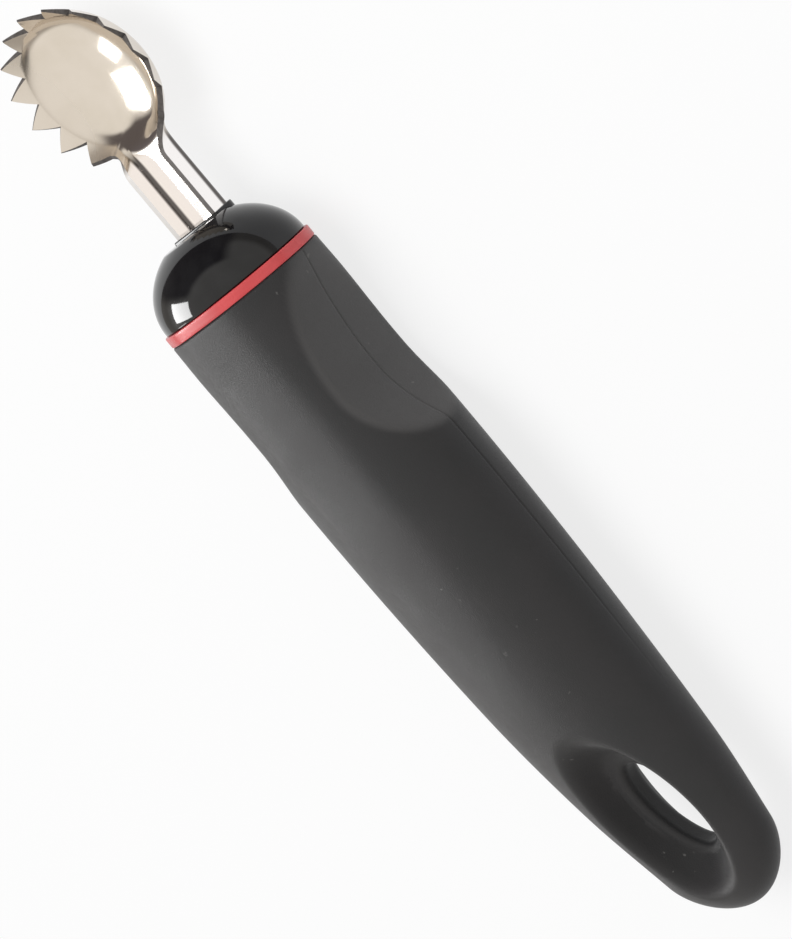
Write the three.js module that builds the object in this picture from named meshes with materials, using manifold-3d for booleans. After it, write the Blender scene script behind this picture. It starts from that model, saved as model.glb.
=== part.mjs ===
// Tomato corer: a pressed stainless scoop with a saw-toothed rim, on a channel shank that runs into an oval
// soft-grip handle with a gloss nose, an accent ring and a hang hole.
//
// Millimetres, +Z up. The tool lies on its back with the scoop's mouth upwards: +X points from the handle to
// the scoop, Y lies across the handle. The pieces are laid out from the ring's mid-plane and from the handle's
// mid-plane, and the finished group is lifted so that its origin is the middle of its footprint.

import * as THREE from 'three';
import { mergeVertices } from 'three/addons/utils/BufferGeometryUtils.js';
import Module from 'manifold-3d';

// Scoop: a round pan with a flared, toothed wall.
const SCOOP_CENTRE = 36; // ring to the middle of the pan
const SCOOP_RADIUS = 12.44; // outside of the wall, at the foot of the teeth
const SCOOP_FOOT = 1.05; // foot of the teeth above the channel's bottom, at the middle of the pan
const SCOOP_CORNER = 6; // outside radius between floor and wall
const FLOOR_SLOPE = 20; // degrees, slope of the dished floor where the corner starts
const WALL_SLOPE = 68; // degrees, slope of the wall and of the teeth
const WALL_HEIGHT = 0.1; // straight wall under the teeth
const SCOOP_NOSE_UP = 4.5; // degrees that the pan tips up towards its tip
const TOOTH_COUNT = 13;
const TOOTH_HEIGHT = 2.65;
const NECK_OPENING = 65; // degrees of the rim that the shank takes instead of teeth
const NECK_EDGE = 1.2; // edge above the foot of the teeth where the neck begins
const SHEET = 0.9;

// Shank: a U channel that goes on as the tang inside the handle.
const SHANK_WIDTH = 9.8;
const SHANK_CORNER = 1.3; // outside radius of the two bends between the channel's floor and sides
const SHANK_WALL = 2.45; // straight part of the channel's sides
const SHANK_COVER = 2.95; // core left under the channel, at the ring
const NECK_LENGTH = 4.9; // along X, from the last tooth to the straight channel
const NECK_SWEEP = 0.6; // share of the neck over which its rows turn square across the blade
const NECK_HOLD = 0.25; // share of the neck that keeps the pan's shape
const TANG_DEPTH = 20; // tang behind the ring
const LOCK_HOLE = 3.4; // diameter of the hole in the tang's floor that the core grows through
const LOCK_BACK = 10; // lock hole behind the ring

// Nose cap and ring.
const DOME_HEIGHT = 10.1; // ring's mid-plane to the flat face round the shank
const DOME_CURVE = 10; // height of the whole half oval that the dome is cut from
const DOME_STEP = 0.45; // dome's edge inside the ring's
const LIP_HEIGHT = 0.45; // raised lip round the shank
const LIP_WALL = 0.5;
const LIP_ROOT = 4; // depth that the lip's tube runs into the dome
const RING_WIDTH = 1.7;
const RING_WALL = 2.7;
const SPIGOT_LENGTH = 3.8; // core in front of the ring's mid-plane

// Handle, measured from the ring or from the tail end. Widths and heights along it are gains and falls against
// the seat at the ring.
const GRIP_LENGTH = 115.4;
const SEAT_WIDTH = 30;
const SEAT_HEIGHT = 22.1;
const BELLY_BACK = 36.5;
const BELLY_GAIN = 2.1;
const BELLY_FALL = 0.2;
const WAIST_TO_TAIL = 47;
const WAIST_GAIN = 0.9;
const WAIST_FALL = 2.3;
const HEEL_TO_TAIL = 24;
const HEEL_GAIN = -2.2;
const HEEL_FALL = 6.1;
const TAIL_ROUND = 9.1; // length of the rounded tail end
const TAIL_GAIN = -7;
const TAIL_FALL = 10.1;
const TAIL_END_GAIN = -11; // width that the taper would reach at the tail without its round
const TAIL_END_FALL = 11.9;
const TAIL_POINT = 0.02; // half size of the last ring, where the tail closes
const TAIL_SAG = 1; // tail's bend towards the back
const SAG_TO_TAIL = 45; // length of that bend
const FLAT_CUT = 0.35; // planed off the broad faces, so that the tool lies still
const SLEEVE_WALL = 1.5;
const SLEEVE_EDGE = 0.4; // chamfer of the sleeve's front edge
const CORE_TO_TAIL = 37;

// Thumb and finger hollows, alike on both edges of the handle.
const HOLLOW_BACK = 20.3; // deepest place behind the ring
const HOLLOW_DEPTH = 3.5; // below the seat's edge
const HOLLOW_FRONT_RADIUS = 50;
const HOLLOW_REAR_RADIUS = 16;
const HOLLOW_CROWN = 26; // radius across the hollow
const HOLLOW_EDGE = 0.9;

// Tail dished on both faces down to a sloping web, with the hang hole through it.
const HOLE_TO_TAIL = 19; // middle of the hole
const HOLE_LENGTH = 16.5;
const HOLE_WIDTH = 7.4;
const WEB_THICKNESS = 4.4;
const WEB_DROP = 1.05; // web's middle below the handle's mid-plane, at the hole
const WEB_SLOPE = 10.5; // degrees that the web falls towards the tail
const DISH_TO_TAIL = 19.9;
const DISH_RISE = 8.6;
const DISH_FRONT = 15;
const DISH_REAR = 14.7;
const DISH_SIDE = 7.9;
const DISH_LAND = 0.5; // share of the dish, by area, that is flat land
const DISH_EDGE = 1.2;

const FIT = 0.3; // clearance between pieces that touch on the real tool

const GRIP_SIDES = 60;
const CORE_SIDES = 28;
const OVAL_SIDES = 48;
const HOLE_SIDES = 40;
const BEND_SIDES = 8;
const FLOOR_STEPS = 3; // rows of the blade's floor, from its spine to the bend
const CORNER_STEPS = 6; // rows of the bend between floor and wall
const NECK_STEPS = 14;

const wasm = await Module();
wasm.setup();

const degrees = (angle) => (angle * Math.PI) / 180;
const mix = (a, b, t) => a + (b - a) * t;
const ease = (t) => t * t * (3 - 2 * t);
const spread = (from, to, steps) => Array.from({ length: steps + 1 }, (_, i) => mix(from, to, i / steps));

// Lesser of two values with a rounded change-over of the given width.
function softMin(a, b, width) {
  const near = Math.max(width - Math.abs(a - b), 0) / width;
  return Math.min(a, b) - (near * near * width) / 4;
}

function indexedGeometry(positions, triangles) {
  const geometry = new THREE.BufferGeometry();
  geometry.setAttribute('position', new THREE.Float32BufferAttribute(positions.flat(), 3));
  geometry.setIndex(triangles.flat());
  return geometry;
}

function toSolid(geometry) {
  const bare = geometry.clone();
  bare.deleteAttribute('normal');
  bare.deleteAttribute('uv');
  const welded = mergeVertices(bare, 1e-4);
  return new wasm.Manifold(
    new wasm.Mesh({
      numProp: 3,
      vertProperties: new Float32Array(welded.attributes.position.array),
      triVerts: new Uint32Array(welded.index.array),
    }),
  );
}

function toGeometry(solid) {
  const mesh = solid.getMesh();
  const geometry = new THREE.BufferGeometry();
  geometry.setAttribute('position', new THREE.BufferAttribute(new Float32Array(mesh.vertProperties), 3));
  geometry.setIndex(new THREE.BufferAttribute(new Uint32Array(mesh.triVerts), 1));
  geometry.computeVertexNormals();
  return geometry;
}

// Closed skin over a row of equal rings along +X, with a flat fan on both ends.
function loft(rings) {
  const sides = rings[0].length;
  const positions = rings.flat();
  const triangles = [];
  for (let row = 0; row + 1 < rings.length; row += 1) {
    for (let i = 0; i < sides; i += 1) {
      const a = row * sides + i;
      const b = row * sides + ((i + 1) % sides);
      triangles.push([a, b, b + sides], [a, b + sides, a + sides]);
    }
  }
  const middle = (ring) => [0, 1, 2].map((k) => ring.reduce((sum, p) => sum + p[k], 0) / sides);
  const first = positions.push(middle(rings[0])) - 1;
  const last = positions.push(middle(rings[rings.length - 1])) - 1;
  const lastRow = (rings.length - 1) * sides;
  for (let i = 0; i < sides; i += 1) {
    const next = (i + 1) % sides;
    triangles.push([first, next, i], [last, lastRow + i, lastRow + next]);
  }
  return indexedGeometry(positions, triangles);
}

function ovalRing(x, halfWidth, halfHeight) {
  return Array.from({ length: OVAL_SIDES }, (_, i) => {
    const turn = (2 * Math.PI * i) / OVAL_SIDES;
    return [x, halfWidth * Math.cos(turn), halfHeight * Math.sin(turn)];
  });
}

const ovalBar = (from, to, halfWidth, halfHeight) =>
  toSolid(loft([ovalRing(from, halfWidth, halfHeight), ovalRing(to, halfWidth, halfHeight)]));

// A shape drawn in Y and Z, drawn out along X.
function barAlongX(shape, from, to) {
  const depth = to - from;
  const geometry = new THREE.ExtrudeGeometry(shape, { depth, bevelEnabled: false, curveSegments: BEND_SIDES });
  const acrossToAlong = new THREE.Matrix4().makeBasis(
    new THREE.Vector3(0, 1, 0),
    new THREE.Vector3(0, 0, 1),
    new THREE.Vector3(1, 0, 0),
  );
  geometry.applyMatrix4(acrossToAlong);
  geometry.translate(from, 0, 0);
  return toSolid(geometry);
}

function post(x, diameter, bottom, top) {
  const geometry = new THREE.CylinderGeometry(diameter / 2, diameter / 2, top - bottom, 24);
  geometry.rotateX(Math.PI / 2);
  geometry.translate(x, 0, (top + bottom) / 2);
  return toSolid(geometry);
}

// Oval spigot of the core, which carries the ring and the nose cap.
const spigotHalfWidth = SEAT_WIDTH / 2 - RING_WALL - FIT;
const spigotHalfHeight = SEAT_HEIGHT / 2 - RING_WALL - FIT;

// Channel section: a flat floor, two bends and straight sides, low in the spigot.
const shankHalf = SHANK_WIDTH / 2;
const shankFloorHalf = shankHalf - SHANK_CORNER;
const shankBottom = -(spigotHalfHeight - SHANK_COVER - FIT);
const shankBendZ = shankBottom + SHANK_CORNER;
const shankTop = shankBendZ + SHANK_WALL;

// Starts a shape with the channel's outside, grown by a margin: down one side, across the floor and up the other.
function channelOutside(grow) {
  const [outer, bend] = [shankHalf + grow, SHANK_CORNER + grow];
  const top = shankTop + grow;
  const shape = new THREE.Shape();
  shape.moveTo(-outer, top);
  shape.lineTo(-outer, shankBendZ);
  shape.absarc(-shankFloorHalf, shankBendZ, bend, Math.PI, 1.5 * Math.PI, false);
  shape.absarc(shankFloorHalf, shankBendZ, bend, 1.5 * Math.PI, 2 * Math.PI, false);
  shape.lineTo(outer, top);
  return shape;
}

// Outline of the channel's sheet, grown by a clearance on all sides.
function sheetSlit(grow) {
  const [inner, bend] = [shankHalf - SHEET - grow, SHANK_CORNER - SHEET - grow];
  const top = shankTop + grow;
  const shape = channelOutside(grow);
  shape.lineTo(inner, top);
  shape.lineTo(inner, shankBendZ);
  shape.absarc(shankFloorHalf, shankBendZ, bend, 2 * Math.PI, 1.5 * Math.PI, true);
  shape.absarc(-shankFloorHalf, shankBendZ, bend, 1.5 * Math.PI, Math.PI, true);
  shape.lineTo(-inner, top);
  shape.closePath();
  return shape;
}

// Outline of the whole channel with its hollow, grown by a margin on all sides.
function channelOutline(grow) {
  const shape = channelOutside(grow);
  shape.closePath();
  return shape;
}

// Pan's outside from its middle to the foot of the teeth: a dished floor, a corner arc and a short straight wall.
const floorSlope = degrees(FLOOR_SLOPE);
const wallSlope = degrees(WALL_SLOPE);
const wallStart = SCOOP_RADIUS - WALL_HEIGHT / Math.tan(wallSlope);
const cornerStart = wallStart - SCOOP_CORNER * (Math.sin(wallSlope) - Math.sin(floorSlope));
const floorRadius = cornerStart / Math.sin(floorSlope);

// Height of the pan's outside above the foot of the teeth, at a distance from its middle.
function panHeight(distance) {
  if (distance > wallStart) return (Math.min(distance, SCOOP_RADIUS) - SCOOP_RADIUS) * Math.tan(wallSlope);
  const cornerMiddle = SCOOP_CORNER * Math.cos(wallSlope) - WALL_HEIGHT;
  if (distance > cornerStart) {
    const sine = Math.sin(floorSlope) + (distance - cornerStart) / SCOOP_CORNER;
    return cornerMiddle - SCOOP_CORNER * Math.sqrt(1 - sine ** 2);
  }
  const floorMiddle = cornerMiddle + (floorRadius - SCOOP_CORNER) * Math.cos(floorSlope);
  return floorMiddle - Math.sqrt(floorRadius ** 2 - distance ** 2);
}

// Shares of the pan's radius at which a row has its points.
function panShares() {
  const floor = spread(0, floorSlope, FLOOR_STEPS).map((s) => floorRadius * Math.sin(s));
  const bends = spread(floorSlope, wallSlope, CORNER_STEPS).slice(1);
  const corner = bends.map((s) => cornerStart + SCOOP_CORNER * (Math.sin(s) - Math.sin(floorSlope)));
  return [...floor, ...corner, SCOOP_RADIUS].map((r) => r / SCOOP_RADIUS);
}

// Half of the channel's outside, with as many points as a row of the pan.
function channelProfile() {
  const floor = spread(0, shankFloorHalf, FLOOR_STEPS).slice(0, -1);
  const bends = spread(0, Math.PI / 2, CORNER_STEPS + 1);
  return [
    ...floor.map((y) => ({ share: y / shankHalf, z: shankBottom })),
    ...bends.map((s) => ({
      share: (shankFloorHalf + SHANK_CORNER * Math.sin(s)) / shankHalf,
      z: shankBendZ - SHANK_CORNER * Math.cos(s),
    })),
  ];
}

// Half of the blade's outside sheet as rows of points, from the tip round the rim to the tang's end. Each row
// runs from the spine to the rim: in the pan all rows start at its middle, and past the last tooth the start
// slides along the spine until rows lie square across the channel, on the pan's own shape at first.
function bladeRows() {
  const pan = panShares();
  const channel = channelProfile();
  const lastAngle = degrees(180 - NECK_OPENING / 2);
  const pitch = (2 * lastAngle) / TOOTH_COUNT;
  const lean = 1 / Math.tan(wallSlope);
  const noseUp = Math.tan(degrees(SCOOP_NOSE_UP));
  const quarterSteps = TOOTH_COUNT * 2;

  const stations = spread(0, lastAngle, quarterSteps).map((angle) => {
    const step = ((lastAngle - angle) / pitch) % 1;
    const foot = angle > lastAngle - pitch / 2 ? NECK_EDGE : 0;
    const edge = mix(foot, TOOTH_HEIGHT, 1 - Math.abs(2 * step - 1));
    const x = SCOOP_CENTRE + SCOOP_RADIUS * Math.cos(angle);
    const y = angle === 0 ? 0 : SCOOP_RADIUS * Math.sin(angle);
    return { x, y, spineX: SCOOP_CENTRE, blend: 0, edge };
  });
  const last = stations[quarterSteps];
  const straightX = last.x - NECK_LENGTH;
  const run = (last.y - shankHalf) / -Math.cos(lastAngle);
  const neck = new THREE.QuadraticBezierCurve(
    new THREE.Vector2(last.x, last.y),
    new THREE.Vector2(last.x - run * Math.sin(lastAngle), shankHalf),
    new THREE.Vector2(straightX, shankHalf),
  );
  for (const t of spread(0, 1, NECK_STEPS).slice(1)) {
    const p = neck.getPoint(t);
    const spineX = mix(SCOOP_CENTRE, p.x, ease(Math.min(t / NECK_SWEEP, 1)));
    const blend = ease(Math.max(t - NECK_HOLD, 0) / (1 - NECK_HOLD));
    const edge = mix(NECK_EDGE, SHANK_WALL, blend);
    stations.push({ x: p.x, y: p.y, spineX, blend, edge });
  }
  for (const x of spread(straightX, -TANG_DEPTH, 5).slice(1)) {
    stations.push({ x, y: shankHalf, spineX: x, blend: 1, edge: SHANK_WALL });
  }

  return stations.map(({ x, y, spineX, blend, edge }) => {
    const place = (share, lift, channelZ) => {
      const [px, py] = [mix(spineX, x, share), y * share];
      const panZ = panHeight(Math.hypot(px - SCOOP_CENTRE, py)) + lift;
      const tipped = shankBottom + SCOOP_FOOT + panZ + noseUp * (px - SCOOP_CENTRE);
      return [px, py, mix(tipped, channelZ, blend)];
    };
    const row = pan.map((share, i) => place(mix(share, channel[i].share, blend), 0, channel[i].z));
    const flare = (edge * lean * (1 - blend)) / SCOOP_RADIUS;
    row.push(place(1 + flare, edge, shankBendZ + edge));
    return row;
  });
}

// Sheet of both halves of the blade, welded along the spine.
function bladeSheet() {
  const rows = bladeRows();
  const width = rows[0].length;
  const positions = [];
  const triangles = [];
  for (const side of [1, -1]) {
    const start = positions.length;
    rows.forEach((row) => row.forEach(([x, y, z]) => positions.push([x, y * side, z])));
    for (let r = 0; r + 1 < rows.length; r += 1) {
      for (let c = 0; c + 1 < width; c += 1) {
        const a = start + r * width + c;
        const quad = [
          [a, a + 1, a + width + 1],
          [a, a + width + 1, a + width],
        ];
        triangles.push(...(side > 0 ? quad : quad.map(([i, j, k]) => [i, k, j])));
      }
    }
  }
  return mergeVertices(indexedGeometry(positions, triangles), 1e-4);
}

// Solid of even thickness on the upper side of a sheet.
function thicken(sheet, thickness) {
  const index = sheet.index.array;
  const faces = [];
  for (let i = 0; i < index.length; i += 3) {
    const [a, b, c] = [index[i], index[i + 1], index[i + 2]];
    if (a !== b && b !== c && c !== a) faces.push([a, b, c]);
  }
  const bare = sheet.clone();
  bare.setIndex(faces.flat());
  bare.computeVertexNormals();
  const { position, normal } = bare.attributes;
  const count = position.count;
  const point = (attribute, i) => [attribute.getX(i), attribute.getY(i), attribute.getZ(i)];
  const lower = Array.from({ length: count }, (_, i) => point(position, i));
  const upper = lower.map((p, i) => {
    const n = point(normal, i);
    return p.map((value, k) => value + thickness * n[k]);
  });
  const triangles = [];
  const open = new Map();
  for (const [a, b, c] of faces) {
    triangles.push([a + count, b + count, c + count], [a, c, b]);
    for (const [from, to] of [[a, b], [b, c], [c, a]]) {
      if (!open.delete(`${to} ${from}`)) open.set(`${from} ${to}`, [from, to]);
    }
  }
  for (const [from, to] of open.values()) {
    triangles.push([from, to, to + count], [from, to + count, from + count]);
  }
  return indexedGeometry([...lower, ...upper], triangles);
}

function buildBlade() {
  const lockHole = post(-LOCK_BACK, LOCK_HOLE, shankBottom - SHEET, shankBottom + 2 * SHEET);
  return toSolid(thicken(bladeSheet(), SHEET)).subtract(lockHole);
}

// Handle's half width and half height at a distance behind the ring, by a smooth curve through its stations.
const gripStation = (back, gain, fall) => [back, (SEAT_WIDTH + gain) / 2, (SEAT_HEIGHT - fall) / 2];
const gripStations = [
  gripStation(0, 0, 0),
  gripStation(BELLY_BACK, BELLY_GAIN, BELLY_FALL),
  gripStation(GRIP_LENGTH - WAIST_TO_TAIL, WAIST_GAIN, WAIST_FALL),
  gripStation(GRIP_LENGTH - HEEL_TO_TAIL, HEEL_GAIN, HEEL_FALL),
  gripStation(GRIP_LENGTH - TAIL_ROUND, TAIL_GAIN, TAIL_FALL),
  gripStation(GRIP_LENGTH, TAIL_END_GAIN, TAIL_END_FALL),
];

function gripSize(back, column) {
  const last = gripStations.length - 1;
  const slope = (i) => {
    const [before, after] = [gripStations[Math.max(i - 1, 0)], gripStations[Math.min(i + 1, last)]];
    return (after[column] - before[column]) / (after[0] - before[0]);
  };
  let i = 0;
  while (i < last - 1 && back > gripStations[i + 1][0]) i += 1;
  const [start, end] = [gripStations[i], gripStations[i + 1]];
  const span = end[0] - start[0];
  const t = (back - start[0]) / span;
  const startPull = (t * (1 - t) ** 2) * span * slope(i);
  const endPull = (t * t * (t - 1)) * span * slope(i + 1);
  const size = mix(start[column], end[column], ease(t)) + startPull + endPull;
  const round = Math.max(back - (GRIP_LENGTH - TAIL_ROUND), 0) / TAIL_ROUND;
  return size * Math.sqrt(Math.max(1 - round ** 2, 0));
}

// Half width left by the hollow at a height above the mid-plane.
function hollowLimit(back, z) {
  const offset = back - HOLLOW_BACK;
  const radius = offset < 0 ? HOLLOW_FRONT_RADIUS : HOLLOW_REAR_RADIUS;
  return SEAT_WIDTH / 2 - HOLLOW_DEPTH + offset ** 2 / (2 * radius) - z ** 2 / (2 * HOLLOW_CROWN);
}

// Height of the sloping web's middle, and how far the dish rises off the web at a place in plan.
const webSlope = Math.tan(degrees(WEB_SLOPE));
const webMiddle = (back) => -WEB_DROP - webSlope * (back - (GRIP_LENGTH - HOLE_TO_TAIL));

function dishRise(back, y) {
  const offset = back - (GRIP_LENGTH - DISH_TO_TAIL);
  const reach = offset < 0 ? DISH_FRONT : DISH_REAR;
  const area = (offset / reach) ** 2 + (y / DISH_SIDE) ** 2;
  return WEB_THICKNESS / 2 + DISH_RISE * Math.max(area - DISH_LAND, 0);
}

const tailSag = (back) => TAIL_SAG * ease(Math.max(back - (GRIP_LENGTH - SAG_TO_TAIL), 0) / SAG_TO_TAIL);
const flatHalf = SEAT_HEIGHT / 2 - FLAT_CUT;

// Oval across the handle, planed flat on its broad faces.
function planedOval(x, halfWidth, halfHeight, flat, sides) {
  return Array.from({ length: sides }, (_, i) => {
    const turn = (2 * Math.PI * i) / sides;
    const z = halfHeight * Math.sin(turn);
    return [x, halfWidth * Math.cos(turn), Math.sign(z) * Math.min(Math.abs(z), flat)];
  });
}

// Ring round the handle, set in from its surface by a wall: a planed oval, hollowed at its edges, bent down
// towards the tail and cut back to the dish on both faces.
function gripRing(back, inset, sides) {
  const halfWidth = Math.max(gripSize(back, 1) - inset, TAIL_POINT);
  const halfHeight = Math.max(gripSize(back, 2) - inset, TAIL_POINT);
  const middle = webMiddle(back);
  return planedOval(-back, halfWidth, halfHeight, flatHalf - inset, sides).map(([x, ovalY, ovalZ]) => {
    const y = Math.sign(ovalY) * softMin(Math.abs(ovalY), hollowLimit(back, ovalZ) - inset, HOLLOW_EDGE);
    const rise = dishRise(back, y) - inset;
    const underTop = softMin(ovalZ - tailSag(back), middle + rise, DISH_EDGE);
    const z = -softMin(-underTop, rise - middle, DISH_EDGE);
    return [x, y, z];
  });
}

const ringHalf = RING_WIDTH / 2;
const sleeveFront = ringHalf + FIT;
const coreEnd = GRIP_LENGTH - CORE_TO_TAIL;

// Rings are listed from the front to the tail and skinned the other way, because a skin runs along +X.
const gripBody = (rings) => toSolid(loft(rings.reverse()));
const coreBody = (backs, inset) => gripBody(backs.map((back) => gripRing(back, inset, CORE_SIDES)));

const hollowEnd = HOLLOW_BACK + HOLLOW_REAR_RADIUS;
const coreBacks = [...spread(sleeveFront, hollowEnd, 12), ...spread(hollowEnd, coreEnd, 5).slice(1)];

function buildSleeve() {
  const dishStart = GRIP_LENGTH - DISH_TO_TAIL - 1.5 * DISH_FRONT;
  const roundStart = GRIP_LENGTH - TAIL_ROUND;
  const tailAngles = spread(0, Math.PI / 2, 7).slice(1);
  const backs = [
    ...spread(sleeveFront + SLEEVE_EDGE, hollowEnd, 13),
    ...spread(hollowEnd, dishStart, 6).slice(1),
    ...spread(dishStart, roundStart, 17).slice(1),
    ...tailAngles.map((angle) => roundStart + TAIL_ROUND * Math.sin(angle)),
  ];
  const rings = backs.map((back) => gripRing(back, 0, GRIP_SIDES));
  const outside = gripBody([gripRing(sleeveFront, SLEEVE_EDGE, GRIP_SIDES), ...rings]);
  const cavity = coreBody([sleeveFront - FIT, ...coreBacks, coreEnd + FIT], SLEEVE_WALL);
  return outside.subtract(cavity).subtract(hangHole());
}

function hangHole() {
  const shape = new THREE.Shape();
  shape.absellipse(0, 0, HOLE_LENGTH / 2, HOLE_WIDTH / 2, 0, 2 * Math.PI);
  const depth = SEAT_HEIGHT;
  const geometry = new THREE.ExtrudeGeometry(shape, {
    depth,
    bevelEnabled: false,
    curveSegments: HOLE_SIDES / 2,
  });
  geometry.translate(HOLE_TO_TAIL - GRIP_LENGTH, 0, -depth / 2);
  return toSolid(geometry);
}

// Core moulded round and inside the tang, with a post through the tang's lock hole.
function buildCore() {
  const body = coreBody(coreBacks, SLEEVE_WALL + FIT);
  const spigot = ovalBar(-sleeveFront - FIT, SPIGOT_LENGTH, spigotHalfWidth, spigotHalfHeight);
  const tangSlit = barAlongX(sheetSlit(FIT), -TANG_DEPTH - FIT, SPIGOT_LENGTH + FIT);
  const lockPost = post(-LOCK_BACK, LOCK_HOLE - 2 * FIT, shankBottom - 2 * FIT, shankBottom + SHEET + 2 * FIT);
  return body.add(spigot).subtract(tangSlit).add(lockPost);
}

function buildRing() {
  const seat = (x) => planedOval(x, SEAT_WIDTH / 2, SEAT_HEIGHT / 2, flatHalf, OVAL_SIDES);
  const outside = toSolid(loft([seat(-ringHalf), seat(ringHalf)]));
  const inside = ovalBar(-RING_WIDTH, RING_WIDTH, spigotHalfWidth + FIT, spigotHalfHeight + FIT);
  return outside.subtract(inside);
}

// Dome on the core's spigot, with a slit for the channel and a raised lip round it.
function buildCap() {
  const base = ringHalf + FIT;
  const rings = spread(0, Math.asin((DOME_HEIGHT - base) / DOME_CURVE), 13).map((angle) => {
    const share = Math.cos(angle);
    const [halfWidth, halfHeight] = [SEAT_WIDTH / 2 - DOME_STEP, SEAT_HEIGHT / 2 - DOME_STEP];
    return ovalRing(base + DOME_CURVE * Math.sin(angle), halfWidth * share, halfHeight * share);
  });
  const socket = ovalBar(0, SPIGOT_LENGTH + FIT, spigotHalfWidth + FIT, spigotHalfHeight + FIT);
  const lipTop = DOME_HEIGHT + LIP_HEIGHT;
  const lip = barAlongX(channelOutline(FIT + LIP_WALL), DOME_HEIGHT - LIP_ROOT, lipTop);
  const slit = barAlongX(sheetSlit(FIT), 0, lipTop + FIT);
  return toSolid(loft(rings)).add(lip).subtract(socket).subtract(slit);
}

const steel = new THREE.MeshStandardMaterial({ color: 0xcfcac3, roughness: 0.18, metalness: 1 });
const glossBlack = new THREE.MeshStandardMaterial({ color: 0x0b0b0d, roughness: 0.12, metalness: 0 });
const red = new THREE.MeshStandardMaterial({ color: 0xc2383c, roughness: 0.4, metalness: 0 });
const hardBlack = new THREE.MeshStandardMaterial({ color: 0x18181a, roughness: 0.5, metalness: 0 });
const softBlack = new THREE.MeshStandardMaterial({ color: 0x2b2a2b, roughness: 0.85, metalness: 0 });

function named(name, solid, material) {
  const mesh = new THREE.Mesh(toGeometry(solid), material);
  mesh.name = name;
  return mesh;
}

const scoopTip = SCOOP_CENTRE + SCOOP_RADIUS + TOOTH_HEIGHT / Math.tan(wallSlope);
const corer = new THREE.Group();
corer.add(
  named('scoop_blade', buildBlade(), steel),
  named('nose_cap', buildCap(), glossBlack),
  named('accent_ring', buildRing(), red),
  named('handle_core', buildCore(), hardBlack),
  named('grip_sleeve', buildSleeve(), softBlack),
);
corer.position.set((GRIP_LENGTH - scoopTip) / 2, 0, flatHalf);
corer.updateMatrixWorld(true);

export default corer;
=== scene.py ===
"""Dressed tomato corer: a polished, saw-toothed scoop on a channel shank, a gloss nose, a red accent ring
and a soft grip with a hang hole, lying on its back on a pale floor.

Sizes are in millimetres, laid out from the middle of the accent ring: X runs to the scoop, "back" runs the
other way to the tail, Y lies across the handle and Z is up. Meshes are made in metres in the CAD frame.
"""

import logging
import math
from dataclasses import dataclass, field
from enum import Enum

import bmesh
import bpy
import numpy as np
from mathutils import Matrix, Vector


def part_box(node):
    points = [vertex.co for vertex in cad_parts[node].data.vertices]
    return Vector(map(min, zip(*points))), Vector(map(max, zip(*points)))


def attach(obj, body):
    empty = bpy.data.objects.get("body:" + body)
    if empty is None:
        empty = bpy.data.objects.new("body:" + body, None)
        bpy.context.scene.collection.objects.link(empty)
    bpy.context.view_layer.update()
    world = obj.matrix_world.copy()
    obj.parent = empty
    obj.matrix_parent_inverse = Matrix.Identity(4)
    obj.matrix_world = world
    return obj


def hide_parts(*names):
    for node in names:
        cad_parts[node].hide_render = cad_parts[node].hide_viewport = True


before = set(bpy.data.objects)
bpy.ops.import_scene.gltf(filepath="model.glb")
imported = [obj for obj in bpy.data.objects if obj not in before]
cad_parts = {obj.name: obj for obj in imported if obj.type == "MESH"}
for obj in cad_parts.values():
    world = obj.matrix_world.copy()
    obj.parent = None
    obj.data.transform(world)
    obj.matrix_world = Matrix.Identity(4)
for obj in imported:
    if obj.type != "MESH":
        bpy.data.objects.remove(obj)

MM = 0.001
BODY = "root"
WELD = 2e-7
TINY = 1e-9
CRISP = math.radians(35)
ROUND_STEPS = 6
HOLLOW = "hollow"
THICKNESS = "thickness"
MIRROR = np.array([1.0, -1.0, 1.0])
Span = tuple[float, float]
Station = tuple[float, float, float]
Colour = tuple[float, float, float]
Socket = bpy.types.NodeSocket
Feed = Socket | float | Colour

log = logging.getLogger("tomato_corer")


class Carve(Enum):
    """Ways in which one closed shape works on another."""

    JOIN = "UNION"
    CUT = "DIFFERENCE"


def soft_min(a: np.ndarray, b: np.ndarray, width: float) -> np.ndarray:
    """Lesser of two values with a rounded change-over.

    Args:
        a: First values.
        b: Second values.
        width: Difference between the two under which the change-over rounds.

    Returns:
        min(a, b) less a quarter of the width, times the squared share of the width that the two are nearer.
    """
    near = np.maximum(width - np.abs(a - b), 0.0) / width
    return np.minimum(a, b) - near**2 * width / 4


def ease(t: np.ndarray) -> np.ndarray:
    """Smooth step 3t^2 - 2t^3 between 0 and 1."""
    share = np.clip(t, 0.0, 1.0)
    return share * share * (3 - 2 * share)


def mix(a: np.ndarray, b: np.ndarray, t: np.ndarray) -> np.ndarray:
    """Straight blend from a at t = 0 to b at t = 1."""
    return a + (b - a) * t


def stack(x: np.ndarray, y: np.ndarray, z: np.ndarray) -> np.ndarray:
    """Coordinates of one shape, broadcast together into points."""
    return np.stack(np.broadcast_arrays(x, y, z), axis=-1).astype(float)


def ring_origin() -> np.ndarray:
    """Middle of the accent ring's CAD node, in metres."""
    low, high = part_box("accent_ring")
    return np.array((low + high) / 2)


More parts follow.
